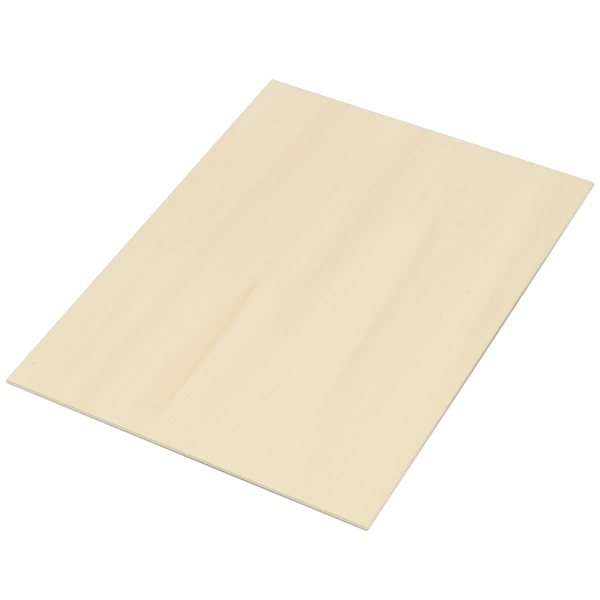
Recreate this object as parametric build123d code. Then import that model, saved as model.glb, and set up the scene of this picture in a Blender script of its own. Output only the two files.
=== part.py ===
from build123d import *
import os

# Small three-ply plywood sheet, lying flat with its good face up.
# The sheet is glued up from three peeled veneers whose grain crosses at right angles: the face and
# the back run along the sheet, the core runs across it. The cured panel is sawn to size in one go,
# so every veneer has the same outline and the sawn edges are flush. Sanding eases the outer arrises.
# Millimetres, +Z up, +Y along the sheet and its face grain, +X across it.
# The origin is the centre of the underside.

# Sawn outline of the panel
SHEET_LENGTH = 400.0
SHEET_WIDTH = 300.0

# Veneer thicknesses after pressing and sanding, which takes a little off the two outer ones
FACE_THICKNESS = 0.9
CORE_THICKNESS = 1.2
BACK_THICKNESS = 0.9

# Radius that sanding leaves on the arrises of the two outer faces
ARRIS_RADIUS = 0.2

# An arris takes up no more than this share of the veneer that it is worn into
LARGEST_ARRIS_SHARE = 0.45


def veneer(thickness, underside):
    """One veneer of the sawn outline, lying with its underside at the given height."""
    outline = Rectangle(SHEET_WIDTH, SHEET_LENGTH)
    return Pos(0, 0, underside) * extrude(outline, amount=thickness)


def eased(outer_face, thickness):
    """The veneer that the face belongs to, with the four arrises of that face sanded round."""
    radius = min(ARRIS_RADIUS, LARGEST_ARRIS_SHARE * thickness)
    return fillet(outer_face.edges(), radius)


# The stack, from the floor up
back = veneer(BACK_THICKNESS, underside=0)
core = veneer(CORE_THICKNESS, underside=BACK_THICKNESS)
face = veneer(FACE_THICKNESS, underside=BACK_THICKNESS + CORE_THICKNESS)

lowest_face = back.faces().sort_by(Axis.Z)[0]
highest_face = face.faces().sort_by(Axis.Z)[-1]

pieces = {
    "back_veneer": eased(lowest_face, BACK_THICKNESS),
    "core_veneer": core,
    "face_veneer": eased(highest_face, FACE_THICKNESS),
}

os.makedirs("parts", exist_ok=True)
for name, piece in pieces.items():
    export_step(piece, f"parts/{name}.step")
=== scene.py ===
import math
from collections import namedtuple

import bpy
import numpy as np
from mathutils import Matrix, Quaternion, Vector


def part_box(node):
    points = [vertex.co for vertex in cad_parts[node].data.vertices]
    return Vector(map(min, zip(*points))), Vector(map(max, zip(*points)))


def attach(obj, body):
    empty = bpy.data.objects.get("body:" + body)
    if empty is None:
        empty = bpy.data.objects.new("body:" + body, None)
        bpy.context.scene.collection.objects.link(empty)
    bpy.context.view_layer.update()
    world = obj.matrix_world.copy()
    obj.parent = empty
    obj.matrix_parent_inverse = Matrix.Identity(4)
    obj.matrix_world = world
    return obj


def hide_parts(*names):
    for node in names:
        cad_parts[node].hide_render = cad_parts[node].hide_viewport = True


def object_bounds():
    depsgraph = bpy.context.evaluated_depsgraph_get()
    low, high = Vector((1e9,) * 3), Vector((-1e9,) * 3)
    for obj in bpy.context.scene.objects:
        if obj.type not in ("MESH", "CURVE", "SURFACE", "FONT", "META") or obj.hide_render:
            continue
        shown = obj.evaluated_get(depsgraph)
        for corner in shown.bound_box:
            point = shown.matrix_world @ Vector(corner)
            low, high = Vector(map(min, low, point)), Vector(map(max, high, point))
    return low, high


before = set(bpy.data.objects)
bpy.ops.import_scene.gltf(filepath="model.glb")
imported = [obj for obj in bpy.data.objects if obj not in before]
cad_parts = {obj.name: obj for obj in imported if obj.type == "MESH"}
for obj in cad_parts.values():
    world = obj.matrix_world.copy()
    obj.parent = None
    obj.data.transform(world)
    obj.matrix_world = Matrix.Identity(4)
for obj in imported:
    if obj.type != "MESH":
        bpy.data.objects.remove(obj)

# A small sheet of pale three-ply plywood lying flat on a white floor.
# Each veneer is a mesh in the place of its solid, with a sawn edge and fine grooves at its glue lines. The
# two outer ones have eased arrises.
# Sizes are in millimetres and turned into metres by MM. Places on the sheet are given as u, across it
# from its left long edge, and v, along it from its near short edge.
MM = 0.001

cad_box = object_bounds()
SHEET_LOW, SHEET_HIGH = cad_box
SHEET_WIDTH = (SHEET_HIGH.x - SHEET_LOW.x) / MM
SHEET_LENGTH = (SHEET_HIGH.y - SHEET_LOW.y) / MM
BACK_GLUE_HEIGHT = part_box("core_veneer")[0].z / MM
FACE_GLUE_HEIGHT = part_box("core_veneer")[1].z / MM

# Mesh of a veneer: the length of a step along its edge, the rows of faces down the flat of that edge, how
# many steps a border cell of a flat face spans, how far in that face's grid starts, the angle in degrees
# from which faces meet sharply, and the slots of its materials
EDGE_STEP = 0.5
EDGE_ROWS = 4
CAP_STEPS = 20
CAP_MARGIN = 4.0
SHARP_ANGLE = 50.0
FACE_SLOT, END_SLOT, LONG_SLOT = range(3)

# Sawn edge: sanded arrises and a hairline groove at each glue line, whose bottom has a share of the edge's
# relief. An arris looks like the face as far as it has less than the sanded share of that relief.
ARRIS_RADIUS = 0.2
ARRIS_SEGMENTS = 3
GLUE_GROOVE = 0.04
GROOVE_SHARE = 0.5
SANDED_SHARE = 0.5

# Score lines that the saw left, which slant, shift and fade along the edge. The shift is in radians.
SCORE_PITCH = 1.3
SCORE_DEPTH = 0.012
SCORE_SLANT = 0.4
SCORE_WANDER = 25.0
SCORE_SHIFT = 3.0
SCORE_FADE = 0.4

# Fibres and torn-out dents of a sawn edge
SawnRelief = namedtuple("SawnRelief", "fibre_depth fibre_spacing dent_depth dent_spacing")
END_RELIEF = SawnRelief(fibre_depth=0.03, fibre_spacing=0.7, dent_depth=0.12, dent_spacing=9.0)
LONG_RELIEF = SawnRelief(fibre_depth=0.008, fibre_spacing=6.0, dent_depth=0.06, dent_spacing=40.0)
DENT_WIDTHS = (0.4, 1.6)
DENT_SHARES = (0.2, 1.0)

# Maps that textures are baked through, in shares of their height: the face that shows, then strips of
# sawn edge, each as long as the map is wide, then the face that doesn't show. The core shows no face.
BAKE_MAP = "OFBake"
MAP_MARGIN = 0.003
STRIP_FILL = 0.8
BakeMap = namedtuple("BakeMap", "shown_face edge_strips hidden_face strip_length")
OUTER_MAP = BakeMap((0.003, 0.753), (0.757, 0.927), (0.931, 0.997), 100.0)
CORE_MAP = BakeMap((0.003, 0.063), (0.067, 0.933), (0.937, 0.997), 50.0)

# Camera, from the photograph's perspective, with its angles in degrees
CAMERA_AZIMUTH = 30.42
CAMERA_ELEVATION = 44.70
CAMERA_ROLL = -2.30
CAMERA_DISTANCE = 1449.5
CAMERA_TARGET = (1.60, -25.18)
CAMERA_LENS = 113.48
CAMERA_SENSOR = 36.0
CLIP_START = 10.0

# Light: an even surround and one large lamp
WORLD_STRENGTH = 0.68
KEY_AZIMUTH = 20.0
KEY_ELEVATION = 68.0
KEY_DISTANCE = 5000.0
KEY_SIZE = 2200.0
KEY_POWER = 86.5

# Floor: its size, how far it reaches in under the sheet, and how it glows white to the eye, near and far
FLOOR_SIZE = 12000.0
FLOOR_LAP = 0.6
FLOOR_ALBEDO = 0.85
NEAR_GLOW = 0.25
FAR_GLOW = 0.45
FAR_START = 700.0
FAR_FULL = 2000.0

# Contact shade on the floor right beside the sheet. Beside the long sides it goes from a faint wood colour
# to dark. At a corner, the shade of the side turns into that of the end over a short length.
CONTACT_REACH = 1.15
CONTACT_POWER = 5.5
CONTACT_DARK = (0.06, 0.03, 0.0, 1.0)
CONTACT_WOOD = (0.50, 0.35, 0.14, 1.0)
SIDE_CONTACT_LEAST = 0.5
SIDE_CONTACT_MOST = 0.95
CONTACT_TURN = 1.0

# Contact shade along the sheet's ends, from left to right: pairs of a share of the way and a share of the
# deepest shade. Along its sides, from near to far, the second is how far the shade has gone to dark. The
# painted light towards the corners of the sawn long sides follows the same curve, the more the shallower
# it is.
END_SHADE = [(0.0, 0.46), (0.12, 0.55), (0.3, 0.69), (0.5, 0.83), (0.62, 0.91), (0.75, 0.83), (0.88, 0.75),
             (1.0, 0.66)]
SIDE_SHADE = [(0.0, 0.2), (0.12, 0.3), (0.3, 0.64), (0.43, 0.84), (0.56, 0.9), (0.7, 0.77), (0.88, 0.37),
              (1.0, 0.2)]


def srgb(red, green, blue):
    """A colour given in 8-bit screen values, as a linear colour."""
    def linear(value):
        share = value / 255
        return share / 12.92 if share <= 0.04045 else ((share + 0.055) / 1.055) ** 2.4
    return (linear(red), linear(green), linear(blue), 1.0)


# Tones of each surface from pale to dark, in 8-bit screen values. The second is its usual colour.
GOOD_FACE_TONES = [(240, 232, 205), (238, 225, 196), (236, 219, 181), (233, 210, 161)]
BACK_FACE_TONES = [(236, 226, 202), (231, 217, 187), (222, 202, 165), (205, 180, 138)]
FACE_END_TONES = [(210, 198, 177), (199, 186, 163), (178, 163, 137), (141, 123, 98)]
BACK_END_TONES = [(220, 211, 192), (209, 198, 177), (186, 172, 148), (143, 126, 102)]
CORE_END_TONES = [(234, 225, 208), (226, 216, 197), (205, 192, 169), (162, 145, 120)]
OUTER_LONG_TONES = [(242, 235, 220), (238, 229, 212), (224, 212, 190), (190, 173, 145)]
CORE_LONG_TONES = [(250, 244, 231), (247, 240, 225), (234, 224, 204), (200, 184, 157)]

# Slight cast over the flat faces, from greener near to pinker far, at shares of the sheet's length
FACE_CAST = [(0.1, (0.9935, 0.9965, 1.0, 1.0)), (0.9, (0.9885, 0.98, 1.0, 1.0))]

# What greyish shades, pores and specks are tinged with, and how much of it goes with one unit of grey
GREY_WOOD = srgb(70, 62, 50)
GREY_SHARE = 0.055

# Painted light: the sawn long sides get paler towards their corners, where the contact shade beside them
# is shallow, by up to this share of the pale colour
CORNER_LIGHT_COLOUR = srgb(250, 246, 236)
CORNER_PAINTED_LIGHT = 0.75

# Gloss of raw wood, and its growth lines
WOOD_SPECULAR = 0.3
GROWTH_SPACING = 17.0
GROWTH_SHARPNESS = 7.0

WHITE = (1.0, 1.0, 1.0, 1.0)

# Streaks of the good face. At each station v, a streak runs from left to right with that strength.
# A positive gain is amber wood, a negative one pale wood. The soft values say how far in and out from
# its two sides it fades.
Streak = namedtuple("Streak", "name gain soft_left soft_right stations")

STREAKS = [
    Streak("main_flame", 0.48, 3.5, 2.5, [
        (0, 99, 117, 0.2), (20, 98, 117, 0.6), (45, 97, 119, 0.9), (75, 98, 120, 1.0),
        (115, 104, 121.5, 1.0), (145, 107.5, 121.5, 1.0), (158, 110.5, 119.5, 1.0),
        (167, 112.5, 117.5, 1.0), (174, 114, 115.5, 0.0)]),
    Streak("flame_heart", 0.45, 3.0, 2.0, [
        (6, 115, 118, 0.2), (24, 115, 119, 0.9), (80, 114.5, 120, 1.0), (125, 113.5, 120, 0.8),
        (152, 113, 118.5, 1.0), (164, 113.5, 117, 1.0), (172, 114, 115.5, 0.0)]),
    Streak("flame_tip", 0.20, 2.0, 3.0, [
        (152, 113.5, 118.5, 0.0), (161, 113.5, 118, 1.0), (167, 113.5, 117, 1.0), (177, 114, 115.5, 0.0)]),
    Streak("middle_band", 0.30, 8.0, 6.0, [
        (0, 142, 157, 0.2), (60, 140, 158, 0.5), (120, 139, 161, 0.6), (180, 138, 164, 1.0),
        (230, 138, 167, 1.0), (300, 140, 163, 1.0), (400, 142, 158, 1.0)]),
    Streak("middle_line", 0.38, 3.0, 3.0, [
        (165, 151, 153, 0.0), (190, 150, 153, 1.0), (230, 149, 152, 1.0), (280, 148, 152, 0.7),
        (310, 147, 151, 0.4), (360, 146, 151, 0.7), (400, 145, 150, 0.4)]),
    Streak("pale_tongue", -0.40, 8.0, 5.0, [
        (0, 158, 232, 0.7), (35, 160, 228, 0.8), (80, 162, 221, 0.95), (120, 165, 216, 1.0),
        (170, 169, 211, 1.0), (220, 173, 205, 1.0), (262, 176, 203, 0.95), (305, 188, 201, 0.0)]),
    Streak("right_wedge", 0.20, 4.0, 9.0, [
        (0, 243, 254, 0.6), (50, 235, 250, 0.9), (100, 226, 243, 1.0), (170, 219, 236, 0.7),
        (230, 214, 234, 0.6), (270, 210, 234, 0.0)]),
    Streak("right_pale", -0.38, 5.0, 4.0, [
        (0, 263, 289, 0.8), (130, 262, 287, 0.9), (220, 265, 280, 0.6), (270, 264, 275, 1.0),
        (320, 258, 273, 1.0), (365, 251, 265, 0.8), (395, 248, 260, 0.2)]),
    Streak("right_margin", 0.34, 5.0, 2.0, [
        (0, 295, 303, 0.3), (120, 291, 303, 0.5), (220, 281, 303, 0.7), (320, 277, 303, 0.7),
        (400, 272, 303, 1.0)]),
    Streak("left_band", 0.30, 4.0, 8.0, [
        (0, 53, 72, 0.9), (60, 53, 72, 1.0), (120, 54, 68, 0.9), (200, 55, 68, 1.0),
        (260, 57, 72, 1.0), (320, 60, 78, 1.0), (400, 60, 79, 0.9)]),
    Streak("left_line", 0.25, 2.0, 2.0, [
        (210, 60, 62, 0.0), (235, 61, 63, 1.0), (262, 68, 70, 0.3), (290, 72.5, 74.5, 1.0),
        (318, 74, 75, 0.0)]),
    Streak("left_pale", -0.30, 3.0, 3.0, [
        (190, 46, 51, 0.0), (235, 47, 52, 0.8), (275, 48.5, 54, 1.0), (320, 51, 55, 1.0),
        (360, 53, 56, 0.0)]),
    Streak("upper_pale", -0.20, 7.0, 7.0, [
        (150, 124, 136, 0.0), (190, 121, 138, 0.6), (250, 116, 138, 0.8), (320, 106, 132, 1.0),
        (400, 108, 134, 1.0)]),
    Streak("upper_warm", 0.17, 14.0, 16.0, [
        (150, 30, 135, 0.0), (205, 30, 134, 0.9), (330, 40, 130, 1.0), (385, 44, 126, 0.0)]),
    Streak("left_warm", 0.14, 8.0, 8.0, [
        (150, 0, 44, 0.0), (200, 0, 44, 1.0), (290, 10, 44, 1.0), (350, 24, 44, 0.0)]),
    Streak("near_pale", -0.08, 2.0, 6.0, [
        (0, -3, 48, 1.0), (110, -3, 46, 0.8), (170, -3, 42, 0.0)]),
    Streak("flame_side_pale", -0.12, 5.0, 5.0, [
        (0, 78, 96, 1.0), (60, 79, 94, 1.0), (150, 80, 98, 0.5), (200, 82, 100, 0.0)]),
    Streak("flame_right_pale", -0.12, 3.0, 6.0, [
        (0, 104, 137, 1.0), (40, 121, 136, 0.8), (140, 123, 136, 0.8), (200, 118, 134, 0.0)]),
    Streak("tongue_side", 0.22, 3.0, 5.0, [
        (60, 219, 227, 0.0), (105, 216.5, 225, 1.0), (165, 214, 223, 1.0), (215, 211, 219, 0.0)]),
    Streak("far_pale", -0.30, 6.0, 7.0, [
        (310, 6, 14, 0.0), (350, 4, 16, 1.0), (400, 2, 18, 1.0)]),
]

# Greyish shades: the tip of the flame, the middle line, the dark side of the pale tongue, and fainter ones
GREY_LINES = [
    Streak("tip_shade", 0.25, 2.0, 3.0, [
        (152, 113.5, 118.5, 0.0), (161, 113.5, 118, 1.0), (167, 113.5, 117, 1.0), (177, 114, 115.5, 0.0)]),
    Streak("middle_shade", 0.55, 3.0, 3.0, [
        (170, 150.5, 153, 0.0), (195, 150, 153.5, 0.8), (214, 149.5, 153.5, 1.0), (235, 149, 154, 0.5),
        (290, 148.5, 154, 0.7), (330, 147.5, 153, 0.5), (400, 146, 152, 0.4)]),
    Streak("tongue_line", 0.75, 4.0, 6.0, [
        (85, 219, 226, 0.0), (120, 216, 224, 0.3), (160, 214.5, 223, 0.5), (200, 212.5, 221, 0.5),
        (240, 210, 219.5, 0.5), (270, 207.5, 216.5, 0.9), (288, 206, 215.5, 1.0), (310, 203, 212, 0.4),
        (335, 201, 208, 0.0)]),
    Streak("near_cloud", 0.30, 9.0, 5.0, [
        (2, 198, 204, 0.0), (22, 203, 209, 1.0), (52, 212, 214, 0.0)]),
    Streak("left_margin", 0.30, 2.0, 9.0, [
        (10, -3, 16, 0.3), (50, -3, 18, 1.0), (130, -3, 14, 1.0), (280, -3, 12, 1.0),
        (340, -3, 10, 0.0)]),
    Streak("left_shade", 0.20, 6.0, 6.0, [
        (0, 14, 46, 0.6), (30, 16, 46, 1.0), (100, 16, 44, 1.0), (140, 18, 42, 0.0)]),
    Streak("left_hair", 0.25, 1.5, 1.5, [
        (0, 29, 31, 0.4), (40, 29, 31.5, 1.0), (80, 28.5, 31, 0.8), (115, 28, 30, 0.0)]),
    Streak("second_hair", 0.25, 2.0, 2.0, [
        (5, 37.5, 41, 0.5), (30, 37.5, 41, 1.0), (58, 37.5, 41, 0.8), (80, 38, 40, 0.0)]),
    Streak("margin_shade", 0.30, 5.0, 4.0, [
        (180, 281, 292, 0.0), (225, 281, 294, 1.0), (250, 279, 290, 0.6), (275, 278, 288, 0.0)]),
]

# Dark specks on the good face: u, v, radius
SPECKS = [(263.4, 237.4, 0.8), (9.3, 23.3, 0.8)]

# Streaks of the plainer back
BACK_STREAKS = [
    Streak("back_flame", 0.7, 6.0, 2.0, [
        (60, 180, 184, 0.3), (120, 172, 190, 1.0), (220, 166, 196, 0.9), (330, 164, 198, 0.6),
        (400, 165, 199, 0.4)]),
    Streak("back_band", 0.5, 4.0, 9.0, [
        (0, 84, 112, 0.7), (130, 80, 110, 1.0), (280, 88, 112, 0.9), (400, 92, 112, 0.6)]),
    Streak("back_pale", -0.5, 6.0, 5.0, [
        (0, 120, 152, 0.8), (160, 118, 150, 1.0), (300, 124, 150, 0.9), (400, 128, 150, 0.5)]),
]


class Nodes:
    """Short names for building one shader tree. An input is a number, a tuple or another output."""

    def __init__(self, tree):
        self.tree = tree
        tree.nodes.clear()

    def add(self, kind, inputs=None, **settings):
        node = self.tree.nodes.new(kind)
        for name, value in settings.items():
            setattr(node, name, value)
        for name, value in (inputs or {}).items():
            if isinstance(value, bpy.types.NodeSocket):
                self.tree.links.new(value, node.inputs[name])
            else:
                node.inputs[name].default_value = value
        return node

    def math(self, operation, *values):
        node = self.add("ShaderNodeMath", dict(enumerate(values)), operation=operation)
        return node.outputs[0]

    def plus(self, *values):
        total = values[0]
        for value in values[1:]:
            total = self.math("ADD", total, value)
        return total

    def minus(self, a, b):
        return self.math("SUBTRACT", a, b)

    def times(self, a, b):
        return self.math("MULTIPLY", a, b)

    def line(self, value, slope, start):
        """The value times the slope, plus the start."""
        return self.math("MULTIPLY_ADD", value, slope, start)

    def weighted(self, *terms):
        """The sum of values, each times its weight."""
        return self.plus(*[self.times(value, weight) for value, weight in terms])

    def point(self, x, y, z):
        return self.add("ShaderNodeCombineXYZ", {"X": x, "Y": y, "Z": z}).outputs[0]

    def step(self, value, low, high):
        """0 below low, 1 above high, smooth between."""
        node = self.add("ShaderNodeMapRange", {"Value": value, "From Min": low, "From Max": high},
                        interpolation_type="SMOOTHSTEP")
        return node.outputs["Result"]

    def noise(self, x, y, width, length, detail=2.0, offset=0.0):
        """Noise about 0, with features of that width along x and that length along y."""
        place = self.point(self.math("DIVIDE", x, width), self.math("DIVIDE", y, length), offset)
        node = self.add("ShaderNodeTexNoise", {"Vector": place, "Scale": 1.0, "Detail": detail})
        return self.minus(node.outputs[0], 0.5)

    def curve(self, value, points):
        """A smooth curve through points whose coordinates lie between 0 and 1."""
        node = self.add("ShaderNodeFloatCurve", {"Value": value})
        spots = node.mapping.curves[0].points
        spots[0].location = points[0]
        spots[1].location = points[-1]
        for x, y in points[1:-1]:
            spots.new(x, y)
        for spot in spots:
            spot.handle_type = "AUTO_CLAMPED"
        node.mapping.extend = "HORIZONTAL"
        node.mapping.update()
        return node.outputs[0]

    def ramp(self, value, stops):
        node = self.add("ShaderNodeValToRGB", {"Fac": value})
        elements = node.color_ramp.elements
        elements[0].position, elements[0].color = stops[0]
        elements[1].position, elements[1].color = stops[-1]
        for position, colour in stops[1:-1]:
            elements.new(position).color = colour
        return node.outputs["Color"]

    def blend_value(self, amount, first, second):
        return self.add("ShaderNodeMix", {0: amount, 2: first, 3: second}, data_type="FLOAT").outputs[0]

    def blend(self, amount, first, second, blend_type="MIX"):
        node = self.add("ShaderNodeMix", {0: amount, 6: first, 7: second}, data_type="RGBA",
                        blend_type=blend_type)
        return node.outputs[2]


def new_material(name):
    material = bpy.data.materials.new(name)
    material.use_nodes = True
    return material, Nodes(material.node_tree)


def sheet_place(n):
    """u across the sheet, v along it and the height, in millimetres from its lower left corner."""
    position = n.add("ShaderNodeTexCoord").outputs["Object"]
    x, y, z = n.add("ShaderNodeSeparateXYZ", {0: position}).outputs
    u = n.line(x, 1 / MM, SHEET_WIDTH / 2)
    v = n.line(y, 1 / MM, SHEET_LENGTH / 2)
    return u, v, n.times(z, 1 / MM)


def wood_ramp(n, tone, tones):
    """The wood's colour: the palest at a tone of -1, its usual colour at 0 and the darkest at 2."""
    last = len(tones) - 1
    stops = [(k / last, srgb(*colour)) for k, colour in enumerate(tones)]
    return n.ramp(n.line(tone, 1 / last, 1 / last), stops)


def finish_wood(n, colour, roughness, relief, depth):
    """The one shader of a raw wood surface, with relief of about that depth as bump."""
    bump = n.add("ShaderNodeBump", {"Height": relief, "Distance": depth * MM, "Strength": 1.0})
    shader = n.add("ShaderNodeBsdfPrincipled", {
        "Base Color": colour, "Roughness": roughness, "Normal": bump.outputs[0],
        "Specular IOR Level": WOOD_SPECULAR})
    n.add("ShaderNodeOutputMaterial", {"Surface": shader.outputs[0]})


def streak_mask(n, u, v, fringe, streak):
    """How strongly the streak colours the point u, v. The fringe breaks its sides up into fibres."""
    along = n.math("DIVIDE", v, SHEET_LENGTH)
    reach = 2 * SHEET_WIDTH

    def edge(column):
        points = [(s[0] / SHEET_LENGTH, (s[column] + SHEET_WIDTH / 2) / reach) for s in streak.stations]
        return n.line(n.curve(along, points), reach, -SHEET_WIDTH / 2)

    def beyond(place, softness):
        return n.step(u, n.minus(place, softness), n.plus(place, softness))

    inside = n.minus(beyond(edge(1), streak.soft_left), beyond(edge(2), streak.soft_right))
    strength = n.curve(along, [(s[0] / SHEET_LENGTH, s[3]) for s in streak.stations])
    shown = n.step(n.plus(inside, fringe), low=0.1, high=0.9)
    return n.times(n.times(shown, strength), streak.gain)


def growth_lines(n, u, v, amber, seed):
    """Thin darker lines, sharp on one side, that follow the grain and bend round the streaks."""
    bend = n.weighted((amber, 1.2), (n.noise(u, v, width=70, length=300, offset=seed), 2.0))
    phase = n.plus(n.math("DIVIDE", u, GROWTH_SPACING), bend)
    line = n.math("POWER", n.math("FRACT", phase), GROWTH_SHARPNESS)
    shown = n.step(n.noise(u, v, width=30, length=170, offset=seed + 1), low=-0.06, high=0.2)
    return n.times(line, shown)


def speck_mask(n, u, v, speck):
    """1 on a round dark speck, 0 away from it."""
    speck_u, speck_v, radius = speck
    away = n.math("SQRT", n.plus(n.math("POWER", n.minus(u, speck_u), 2.0),
                                 n.math("POWER", n.minus(v, speck_v), 2.0)))
    return n.minus(1.0, n.step(away, low=0.5 * radius, high=1.3 * radius))


def handled_margin(n, u, v, seed):
    """1 along the edges of the sheet, which hands have greyed, 0 a few millimetres in."""
    across = n.math("MINIMUM", u, n.minus(SHEET_WIDTH, u))
    along = n.math("MINIMUM", v, n.minus(SHEET_LENGTH, v))
    uneven = n.times(n.noise(u, v, width=4, length=4, offset=seed), 1.5)
    inwards = n.plus(n.math("MINIMUM", across, along), uneven)
    return n.minus(1.0, n.step(inwards, low=0.2, high=3.0))


def veneer_face(name, tones, streaks, grey_lines, specks, seed):
    """Peeled veneer, sanded: streaks of amber and pale wood, growth lines, fibres, pores and rays."""
    material, n = new_material(name)
    u, v, _ = sheet_place(n)

    # Grain that wanders across the sheet, with streaks and fibres that end unevenly along it
    drift = n.weighted((n.noise(u, v, width=60, length=110, offset=seed), 6.0),
                       (n.noise(u, v, width=9, length=40, offset=seed + 1), 1.6))
    ring_u = n.plus(u, drift)
    ring_v = n.plus(v, n.times(n.noise(u, v, width=1.4, length=80, offset=seed + 2), 70.0))
    fibre_v = n.plus(v, n.times(n.noise(u, v, width=1.2, length=300, offset=seed + 7), 30.0))
    fringe = n.noise(ring_u, v, width=1.1, length=70, offset=seed + 3)

    # Features of the grain, from the widest to the finest
    streaked = n.plus(*[streak_mask(n, ring_u, ring_v, fringe, streak) for streak in streaks])
    warmer_near = n.line(v, -0.06 / SHEET_LENGTH, 0.02)
    broad = n.noise(ring_u, v, width=24, length=520, offset=seed + 6)
    growth = growth_lines(n, ring_u, v, streaked, seed + 4)
    bands = n.noise(ring_u, v, width=6, length=210, offset=seed + 12)
    lines = n.noise(ring_u, v, width=1.6, length=150, detail=3.0, offset=seed + 8)
    fibre = n.noise(ring_u, fibre_v, width=0.4, length=16, detail=3.0, offset=seed + 9)
    ray_noise = n.noise(ring_u, fibre_v, width=0.3, length=1.3, detail=0.0, offset=seed + 11)
    rays = n.step(ray_noise, low=0.16, high=0.28)
    pore_noise = n.noise(ring_u, fibre_v, width=0.18, length=2.8, detail=0.0, offset=seed + 10)
    pores = n.step(pore_noise, low=0.12, high=0.26)
    hairs = n.noise(ring_u, fibre_v, width=0.13, length=7, detail=1.0, offset=seed + 13)

    amber = n.plus(streaked, warmer_near, n.weighted(
        (broad, 0.45), (growth, 0.3), (bands, 0.2), (lines, 0.5), (fibre, 0.8), (rays, -0.3), (pores, 0.5),
        (hairs, 1.0)))
    grey = n.plus(0.1, n.weighted(
        (growth, 0.35), (bands, 0.25), (lines, 0.6), (pores, 0.6), (hairs, 0.8),
        (handled_margin(n, u, v, seed + 8), 0.3)))
    for line in grey_lines:
        grey = n.plus(grey, streak_mask(n, ring_u, ring_v, fringe, line))
    for speck in specks:
        grey = n.plus(grey, n.times(speck_mask(n, u, v, speck), 5.0))

    cast = n.ramp(n.math("DIVIDE", v, SHEET_LENGTH), FACE_CAST)
    wood = n.blend(1.0, wood_ramp(n, amber, tones), cast, "MULTIPLY")
    colour = n.blend(n.times(grey, GREY_SHARE), wood, GREY_WOOD)
    relief = n.weighted((lines, 0.4), (fibre, 1.0), (pores, -0.8), (hairs, 0.5))
    finish_wood(n, colour, n.line(fibre, 0.25, 0.62), relief, depth=0.02)
    return material


def edge_place(n, along):
    """Place along a sawn edge, that place on the slant of the saw's score lines, and the height."""
    u, v, height = sheet_place(n)
    place = u if along == "u" else v
    return place, n.plus(place, n.times(height, SCORE_SLANT)), height


def glue_stain(n, height):
    """The thin darker line where glue soaked into the wood on both sides of a joint."""
    from_back = n.math("ABSOLUTE", n.minus(height, BACK_GLUE_HEIGHT))
    from_face = n.math("ABSOLUTE", n.minus(height, FACE_GLUE_HEIGHT))
    near = n.math("MINIMUM", from_back, from_face)
    return n.times(n.minus(1.0, n.step(near, low=0.02, high=0.1)), 0.8)


def sawn_colour(n, place, height, along, tone, tones):
    """Colour of a sawn edge: stained at the glue lines, and with painted light towards the corners of a
    long side.
    """
    wood = wood_ramp(n, n.plus(tone, glue_stain(n, height)), tones)
    if along == "u":
        return wood
    # Painted light: a long side gets paler towards its corners, where the contact shade curve is low
    middle = n.curve(n.math("DIVIDE", place, SHEET_LENGTH), SIDE_SHADE)
    return n.blend(n.line(middle, -CORNER_PAINTED_LIGHT, CORNER_PAINTED_LIGHT), wood, CORNER_LIGHT_COLOUR)


def end_grain(name, along, tones, seed):
    """Sawn end grain: rows of pores, fine rays, lathe checks and the saw's score lines."""
    material, n = new_material(name)
    place, score_place, height = edge_place(n, along)
    pore_noise = n.noise(place, height, width=0.08, length=0.08, detail=1.0, offset=seed)
    pores = n.step(pore_noise, low=0.06, high=0.22)
    rays = n.noise(place, height, width=0.25, length=3, detail=1.0, offset=seed + 1)
    scores = n.noise(score_place, height, width=0.6, length=30, offset=seed + 2)
    blotch = n.noise(place, height, width=14, length=8, offset=seed + 3)
    ragged = n.noise(place, height, width=1.5, length=1.5, offset=seed + 5)
    check_place = n.plus(place, n.weighted((height, 0.8), (ragged, 0.5)))
    cracked = n.noise(check_place, height, width=0.3, length=5, detail=0.0, offset=seed + 4)
    checks = n.step(n.plus(cracked, n.times(blotch, 0.25)), low=0.24, high=0.30)
    tone = n.weighted((pores, 0.3), (rays, 0.9), (scores, 0.8), (blotch, 0.9), (checks, 0.7))
    colour = sawn_colour(n, place, height, along, tone, tones)
    relief = n.weighted((pores, -0.6), (rays, 1.0), (scores, 1.5), (checks, -2.0))
    finish_wood(n, colour, n.line(rays, 0.2, 0.78), relief, depth=0.04)
    return material


def long_grain(name, along, tones, seed):
    """Sawn long grain: fibres along the edge, crossed by the saw's score lines."""
    material, n = new_material(name)
    place, score_place, height = edge_place(n, along)
    fibre = n.noise(place, height, width=14, length=0.12, detail=3.0, offset=seed)
    bands = n.noise(place, height, width=60, length=0.5, detail=1.0, offset=seed + 1)
    scores = n.noise(score_place, height, width=0.7, length=30, offset=seed + 2)
    blotch = n.noise(place, height, width=18, length=8, offset=seed + 3)
    vessel_noise = n.noise(place, height, width=5, length=0.05, detail=0.0, offset=seed + 4)
    vessels = n.step(vessel_noise, low=0.12, high=0.3)
    tone = n.weighted((fibre, 1.6), (bands, 0.7), (scores, 0.6), (blotch, 0.7), (vessels, 0.5))
    colour = sawn_colour(n, place, height, along, tone, tones)
    relief = n.weighted((fibre, 1.5), (scores, 1.0), (vessels, -0.8))
    finish_wood(n, colour, n.line(fibre, 0.3, 0.72), relief, depth=0.03)
    return material


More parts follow.
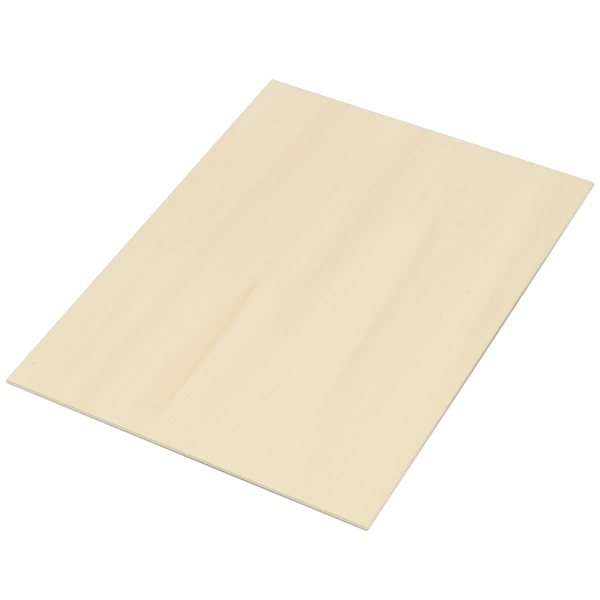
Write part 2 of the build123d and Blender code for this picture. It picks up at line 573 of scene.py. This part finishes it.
class Outline:
    """The sawn outline as columns of points, anticlockwise from the lower left corner.

    Its sides are numbered from 0, the near end, to 3, the left side.
    """

    def __init__(self, strip_length):
        half_width = SHEET_WIDTH / 2
        half_length = SHEET_LENGTH / 2
        corners = [(-half_width, -half_length), (half_width, -half_length),
                   (half_width, half_length), (-half_width, half_length)]
        points, inward, side, place = [], [], [], []
        strip, strip_start, strip_end = [], [], []
        strips = 0
        self.side_counts = []
        for k in range(4):
            start = np.array(corners[k])
            run = np.array(corners[(k + 1) % 4]) - start
            length = np.linalg.norm(run)
            count = round(length / EDGE_STEP)
            self.side_counts.append(count)
            normal = np.array([-run[1], run[0]]) / length
            before = np.array([-normal[1], normal[0]])
            parts = max(1, round(length / strip_length))
            for i in range(count):
                points.append(start + run * i / count)
                inward.append(normal - before if i == 0 else normal)
                side.append(k)
                place.append(length * i / count)
                part = i * parts // count
                strip.append(strips + part)
                strip_start.append(i * parts / count - part)
                strip_end.append((i + 1) * parts / count - part)
            strips += parts
        self.points = np.array(points)
        self.inward = np.array(inward)
        self.side = np.array(side)
        self.place = np.array(place)
        self.strips = strips
        self.strip = strip
        self.strip_start = strip_start
        self.strip_end = strip_end


def edge_profile(low, high, eased):
    """Rows of (inset, height, share of relief) from the top of a veneer's edge to its bottom."""
    def arris(top):
        rows = []
        for k in range(ARRIS_SEGMENTS + 1):
            turn = math.radians(90 * k / ARRIS_SEGMENTS)
            inset = ARRIS_RADIUS * (1 - math.sin(turn))
            drop = ARRIS_RADIUS * (1 - math.cos(turn))
            rows.append((inset, high - drop if top else low + drop, k / ARRIS_SEGMENTS))
        return rows if top else rows[::-1]

    def groove(top):
        rows = [(GLUE_GROOVE, high if top else low, GROOVE_SHARE),
                (0.0, high - GLUE_GROOVE if top else low + GLUE_GROOVE, 1.0)]
        return rows if top else rows[::-1]

    upper = arris(True) if eased == "top" else groove(True)
    lower = arris(False) if eased == "bottom" else groove(False)
    first, last = upper[-1][1], lower[0][1]
    middle = [(0.0, first + (last - first) * k / EDGE_ROWS, 1.0) for k in range(1, EDGE_ROWS)]
    return upper + middle + lower


def slow_noise(rng, places, spacing):
    """Noise from -1 to 1 along an edge, straight between new values every spacing millimetres."""
    knots = np.arange(places.min() - spacing, places.max() + 2 * spacing, spacing)
    return np.interp(places, knots, rng.uniform(-1, 1, len(knots)))


def dents(rng, places, every, deepest):
    """Small torn-out dents, about one every so many millimetres."""
    depth = np.zeros_like(places)
    span = places.max() - places.min()
    for _ in range(int(span / every)):
        centre = rng.uniform(places.min(), places.max())
        width = rng.uniform(*DENT_WIDTHS)
        depth += rng.uniform(*DENT_SHARES) * deepest * np.exp(-((places - centre) / width) ** 2)
    return np.minimum(depth, deepest)


def edge_relief(outline, profile, end_sides, seed):
    """Inset in millimetres of every point of a sawn edge: score lines, fibres and small dents."""
    rng = np.random.default_rng(seed)
    relief = np.zeros((len(profile), len(outline.place)))
    for k in range(4):
        here = np.flatnonzero(outline.side == k)
        place = outline.place[here]
        sawn = END_RELIEF if k in end_sides else LONG_RELIEF
        wander = slow_noise(rng, place, SCORE_WANDER)
        torn = dents(rng, place, sawn.dent_spacing, sawn.dent_depth)
        for row, (_, height, share) in enumerate(profile):
            turn = 2 * math.pi * (place + SCORE_SLANT * height) / SCORE_PITCH + SCORE_SHIFT * wander
            scores = SCORE_DEPTH * (1 + np.sin(turn)) * (1 - SCORE_FADE + SCORE_FADE * wander)
            fibre = sawn.fibre_depth * (1 + slow_noise(rng, place, sawn.fibre_spacing))
            relief[row, here] = share * (scores + fibre + torn)
    return relief


def cap_grid(outline, z, first_index):
    """Points of a coarse grid inside the outline, and the grid's rows of indices."""
    across = outline.side_counts[0] // CAP_STEPS
    along = outline.side_counts[1] // CAP_STEPS
    xs = np.linspace(CAP_MARGIN - SHEET_WIDTH / 2, SHEET_WIDTH / 2 - CAP_MARGIN, across + 1)
    ys = np.linspace(CAP_MARGIN - SHEET_LENGTH / 2, SHEET_LENGTH / 2 - CAP_MARGIN, along + 1)
    points = [(x, y, z) for y in ys for x in xs]
    index = first_index + np.arange(len(points)).reshape(along + 1, across + 1)
    return points, index


def cap_faces(index, loop, upward):
    """Quads of the grid, and one face from each of its border cells out to the columns of the edge."""
    faces = []
    rows, columns = index.shape
    for j in range(rows - 1):
        for i in range(columns - 1):
            faces.append([index[j, i], index[j, i + 1], index[j + 1, i + 1], index[j + 1, i]])
    border = list(index[0, :-1]) + list(index[:-1, -1]) + list(index[-1, :0:-1]) + list(index[:0:-1, 0])
    total = len(loop)
    for i in range(len(border)):
        outer = [loop[(i * CAP_STEPS + k) % total] for k in range(CAP_STEPS + 1)]
        faces.append(outer + [border[(i + 1) % len(border)], border[i]])
    if not upward:
        faces = [face[::-1] for face in faces]
    return faces


def on_map(share):
    """A share of the bake map's width, kept off its sides."""
    return MAP_MARGIN + (1 - 2 * MAP_MARGIN) * share


def map_of_cap(points, face, area):
    """Places on the bake map of the corners of a flat face, which lies along the map."""
    low, high = area
    places = []
    for i in face:
        x, y, _ = points[i]
        places.append((on_map(y / SHEET_LENGTH + 0.5), low + (high - low) * (x / SHEET_WIDTH + 0.5)))
    return places


def map_of_edge(outline, i, upper, lower, area):
    """Places on the bake map of one face of the sawn edge, between two shares of the edge's depth."""
    low, high = area
    pitch = (high - low) / outline.strips
    start, end = on_map(outline.strip_start[i]), on_map(outline.strip_end[i])
    top, bottom = (low + pitch * (outline.strip[i] + STRIP_FILL * depth) for depth in (upper, lower))
    return [(start, top), (start, bottom), (end, bottom), (end, top)]


def edge_depths(profile):
    """How far down the edge each row of the profile lies, as a share of the way."""
    depths = [0.0]
    for a, b in zip(profile, profile[1:]):
        depths.append(depths[-1] + math.dist(a[:2], b[:2]))
    return [depth / depths[-1] for depth in depths]


def ply_mesh(name, low, high, eased, end_sides, materials, seed):
    """One veneer as a closed mesh: a sawn edge and two flat faces."""
    layout = OUTER_MAP if eased else CORE_MAP
    outline = Outline(layout.strip_length)
    profile = edge_profile(low, high, eased)
    relief = edge_relief(outline, profile, end_sides, seed)
    total = len(outline.points)
    points = []
    for row, (inset, height, _) in enumerate(profile):
        flat = outline.points + outline.inward * (inset + relief[row])[:, None]
        points.extend((x, y, height) for x, y in flat)

    faces, slots, smooth, places = [], [], [], []
    depths = edge_depths(profile)
    for row in range(len(profile) - 1):
        sanded = min(profile[row][2], profile[row + 1][2]) < SANDED_SHARE
        above, below = row * total, (row + 1) * total
        for i in range(total):
            j = (i + 1) % total
            sawn_slot = END_SLOT if outline.side[i] in end_sides else LONG_SLOT
            faces.append([above + i, below + i, below + j, above + j])
            slots.append(FACE_SLOT if sanded else sawn_slot)
            smooth.append(True)
            places.extend(map_of_edge(outline, i, depths[row], depths[row + 1], layout.edge_strips))
    for row, z, upward in ((0, high, True), (len(profile) - 1, low, False)):
        grid, index = cap_grid(outline, z, len(points))
        points.extend(grid)
        cap = cap_faces(index, range(row * total, (row + 1) * total), upward)
        faces.extend(cap)
        slots.extend([FACE_SLOT] * len(cap))
        smooth.extend([False] * len(cap))
        area = layout.shown_face if upward == (eased != "bottom") else layout.hidden_face
        for face in cap:
            places.extend(map_of_cap(points, face, area))

    mesh = bpy.data.meshes.new(name)
    mesh.from_pydata([tuple(c * MM for c in p) for p in points], [], [[int(i) for i in f] for f in faces])
    for material in materials:
        mesh.materials.append(material)
    mesh.polygons.foreach_set("material_index", slots)
    mesh.polygons.foreach_set("use_smooth", smooth)
    mesh.set_sharp_from_angle(angle=math.radians(SHARP_ANGLE))
    mesh.uv_layers.new(name=BAKE_MAP).uv.foreach_set("vector", np.array(places, np.float32).ravel())
    mesh.validate()
    return mesh


def build_ply(name, node, eased, grain, materials, seed):
    """One veneer in the place of its solid, with materials for its face, end grain and long grain."""
    low, high = (corner.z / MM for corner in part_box(node))
    end_sides = (0, 2) if grain == "v" else (1, 3)
    ply = bpy.data.objects.new(name, ply_mesh(name, low, high, eased, end_sides, materials, seed))
    bpy.context.scene.collection.objects.link(ply)
    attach(ply, "root")
    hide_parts(node)


def build_sheet():
    """The three plies, and the materials of their faces and sawn edges."""
    good_face = veneer_face("good_face", GOOD_FACE_TONES, STREAKS, GREY_LINES, SPECKS, seed=10.0)
    back_face = veneer_face("back_face", BACK_FACE_TONES, BACK_STREAKS, [], [], seed=40.0)
    face_ends = end_grain("face_end_grain", "u", FACE_END_TONES, seed=60.0)
    back_ends = end_grain("back_end_grain", "u", BACK_END_TONES, seed=65.0)
    outer_sides = long_grain("outer_long_grain", "v", OUTER_LONG_TONES, seed=70.0)
    core_ends = end_grain("core_end_grain", "v", CORE_END_TONES, seed=80.0)
    core_sides = long_grain("core_long_grain", "u", CORE_LONG_TONES, seed=90.0)
    build_ply("face_ply", "face_veneer", "top", "v", [good_face, face_ends, outer_sides], seed=3)
    build_ply("core_ply", "core_veneer", None, "u", [core_sides, core_ends, core_sides], seed=5)
    build_ply("back_ply", "back_veneer", "bottom", "v", [back_face, back_ends, outer_sides], seed=7)


def seen_rays(n):
    """1 for camera, glossy and transmission rays, and 0 for the others, which only carry light."""
    rays = n.add("ShaderNodeLightPath").outputs
    through = n.math("MAXIMUM", rays["Is Glossy Ray"], rays["Is Transmission Ray"])
    return n.math("MAXIMUM", rays["Is Camera Ray"], through)


def contact_shade(n):
    """Amount and colour of the contact shade, which is deepest about the middles of the edges."""
    open_sky = n.add("ShaderNodeAmbientOcclusion", {"Distance": CONTACT_REACH * MM}).outputs["AO"]
    deepest = n.minus(1.0, n.math("POWER", open_sky, CONTACT_POWER))
    u, v, _ = sheet_place(n)
    from_middle = n.math("ABSOLUTE", n.minus(v, SHEET_LENGTH / 2))
    past_end = n.step(from_middle, low=SHEET_LENGTH / 2 - CONTACT_TURN, high=SHEET_LENGTH / 2)
    beside_end = n.curve(n.math("DIVIDE", u, SHEET_WIDTH), END_SHADE)
    side_depth = n.curve(n.math("DIVIDE", v, SHEET_LENGTH), SIDE_SHADE)
    beside_side = n.blend_value(side_depth, SIDE_CONTACT_LEAST, SIDE_CONTACT_MOST)
    amount = n.times(deepest, n.blend_value(past_end, beside_side, beside_end))
    side_colour = n.blend(side_depth, CONTACT_WOOD, CONTACT_DARK)
    return amount, n.blend(past_end, side_colour, CONTACT_DARK)


def floor_material():
    """White paint that glows a little to the eye, with the contact shade on it."""
    material, n = new_material("white_floor")
    seen = seen_rays(n)
    contact, contact_colour = contact_shade(n)
    shaded = n.blend(n.times(contact, seen), WHITE, contact_colour)
    albedo = (FLOOR_ALBEDO, FLOOR_ALBEDO, FLOOR_ALBEDO, 1.0)
    paint = n.add("ShaderNodeBsdfDiffuse", {"Color": n.blend(1.0, shaded, albedo, "MULTIPLY")})
    place = n.add("ShaderNodeTexCoord").outputs["Object"]
    away = n.add("ShaderNodeVectorMath", {0: place}, operation="LENGTH").outputs["Value"]
    far = n.step(away, low=FAR_START * MM, high=FAR_FULL * MM)
    brightness = n.blend_value(far, NEAR_GLOW, FAR_GLOW)
    glow = n.add("ShaderNodeEmission", {"Color": shaded, "Strength": n.times(seen, brightness)})
    both = n.add("ShaderNodeAddShader", {0: paint.outputs[0], 1: glow.outputs[0]})
    n.add("ShaderNodeOutputMaterial", {"Surface": both.outputs[0]})
    return material


def make_floor():
    """A white floor that keeps the sheet's shadow, open under the sheet so that its back can be seen."""
    def rectangle(half_width, half_length):
        turns = ((-1, -1), (1, -1), (1, 1), (-1, 1))
        return [(x * half_width * MM, y * half_length * MM, 0) for x, y in turns]

    outer = rectangle(FLOOR_SIZE / 2, FLOOR_SIZE / 2)
    inner = rectangle(SHEET_WIDTH / 2 - FLOOR_LAP, SHEET_LENGTH / 2 - FLOOR_LAP)
    faces = [(k, (k + 1) % 4, 4 + (k + 1) % 4, 4 + k) for k in range(4)]
    mesh = bpy.data.meshes.new("floor")
    mesh.from_pydata(outer + inner, [], faces)
    mesh.materials.append(floor_material())
    floor = bpy.data.objects.new("floor", mesh)
    bpy.context.scene.collection.objects.link(floor)


def stand_off(name, data, target, azimuth, elevation, distance, roll=0.0):
    """A lamp or camera that faces a target on the floor from that azimuth, elevation and distance."""
    turn, rise = math.radians(azimuth), math.radians(elevation)
    back = Vector((math.sin(turn) * math.cos(rise), -math.cos(turn) * math.cos(rise), math.sin(rise)))
    thing = bpy.data.objects.new(name, data)
    thing.location = Vector((*target, 0)) * MM + back * distance * MM
    thing.rotation_mode = "QUATERNION"
    thing.rotation_quaternion = back.to_track_quat("Z", "Y") @ Quaternion((0, 0, 1), math.radians(roll))
    bpy.context.scene.collection.objects.link(thing)
    return thing


def make_light():
    """An even white surround, and a large soft lamp high above the sheet, a little to its near side."""
    world = bpy.data.worlds.new("surround")
    bpy.context.scene.world = world
    world.use_nodes = True
    n = Nodes(world.node_tree)
    strength = n.line(seen_rays(n), 1.0 - WORLD_STRENGTH, WORLD_STRENGTH)
    sky = n.add("ShaderNodeBackground", {"Color": WHITE, "Strength": strength})
    n.add("ShaderNodeOutputWorld", {"Surface": sky.outputs[0]})

    lamp = bpy.data.lights.new("key", "AREA")
    lamp.shape = "DISK"
    lamp.size = KEY_SIZE * MM
    lamp.energy = KEY_POWER
    stand_off("key", lamp, (0, 0), KEY_AZIMUTH, KEY_ELEVATION, KEY_DISTANCE)


def make_camera():
    """The camera at the photograph's viewing angle."""
    lens = bpy.data.cameras.new("camera")
    lens.sensor_width = CAMERA_SENSOR
    lens.lens = CAMERA_LENS
    lens.clip_start = CLIP_START * MM
    lens.clip_end = 2 * FLOOR_SIZE * MM
    bpy.context.scene.camera = stand_off("camera", lens, CAMERA_TARGET, CAMERA_AZIMUTH, CAMERA_ELEVATION,
                                         CAMERA_DISTANCE, CAMERA_ROLL)


build_sheet()
make_floor()
make_light()
make_camera()
bpy.context.scene.view_settings.view_transform = "Standard"

bpy.context.view_layer.update()
